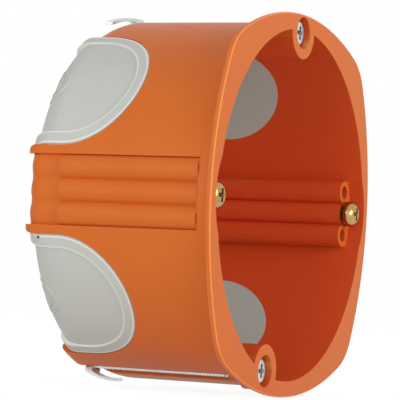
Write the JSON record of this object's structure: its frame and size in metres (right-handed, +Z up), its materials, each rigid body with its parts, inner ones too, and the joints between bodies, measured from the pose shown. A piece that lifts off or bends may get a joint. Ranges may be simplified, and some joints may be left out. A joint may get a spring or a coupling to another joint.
{
  "type": "round back box",
  "caption": "Round flush-mounting back box for hollow walls, with a bowed square flange, soft cable entries, device screw columns and screw-driven claws.",
  "frame": {"origin": "on the box axis, in the plane of the flange's back face, which is the wall face", "axes": "+Y along the box axis into the wall, +X to the right seen from the room, +Z up"},
  "size_m": [0.0698, 0.0383, 0.0698],
  "materials": {
    "orange_plastic": "fine satin moulded plastic",
    "grey_soft": "matte soft elastomer",
    "zinc_steel": "bright zinc plating",
    "yellow_zinc": "yellow zinc plating"
  },
  "bodies": {
    "box": {"box_body": "orange_plastic", "entry_membrane_upper_left": "grey_soft", "entry_membrane_lower_left": "grey_soft", "entry_membrane_upper_right": "grey_soft", "entry_membrane_lower_right": "grey_soft"},
    "top_screw": {"clamp_screw_top": "zinc_steel"},
    "bottom_screw": {"clamp_screw_bottom": "zinc_steel"},
    "top_claw": {"claw_top": "zinc_steel"},
    "bottom_claw": {"claw_bottom": "zinc_steel"},
    "left_device_screw": {"device_screw_left": "yellow_zinc"},
    "right_device_screw": {"device_screw_right": "yellow_zinc"}
  },
  "joints": [
    {"name": "top_screw_turn", "type": "hinge", "parent": "box", "child": "top_screw", "pos_m": [0, 0, 0.0315], "axis": [0, 1, 0], "range_deg": [0, 13206]},
    {"name": "bottom_screw_turn", "type": "hinge", "parent": "box", "child": "bottom_screw", "pos_m": [-0.00921, 0, -0.03012], "axis": [0, 1, 0], "range_deg": [0, 13206]},
    {"name": "top_claw_travel", "type": "slide", "parent": "box", "child": "top_claw", "axis": [0, -1, 0], "range_m": [0, 0.02566]},
    {"name": "bottom_claw_travel", "type": "slide", "parent": "box", "child": "bottom_claw", "axis": [0, -1, 0], "range_m": [0, 0.02566]},
    {"name": "left_device_screw_out", "type": "slide", "parent": "box", "child": "left_device_screw", "axis": [0, -1, 0], "range_m": [-0.0005, 0.012]},
    {"name": "right_device_screw_out", "type": "slide", "parent": "box", "child": "right_device_screw", "axis": [0, -1, 0], "range_m": [-0.0005, 0.012]}
  ],
  "couplings": [
    {"joint": "top_screw_turn", "follows": "top_claw_travel", "rad_per_m": 8976},
    {"joint": "bottom_screw_turn", "follows": "bottom_claw_travel", "rad_per_m": 8976}
  ]
}
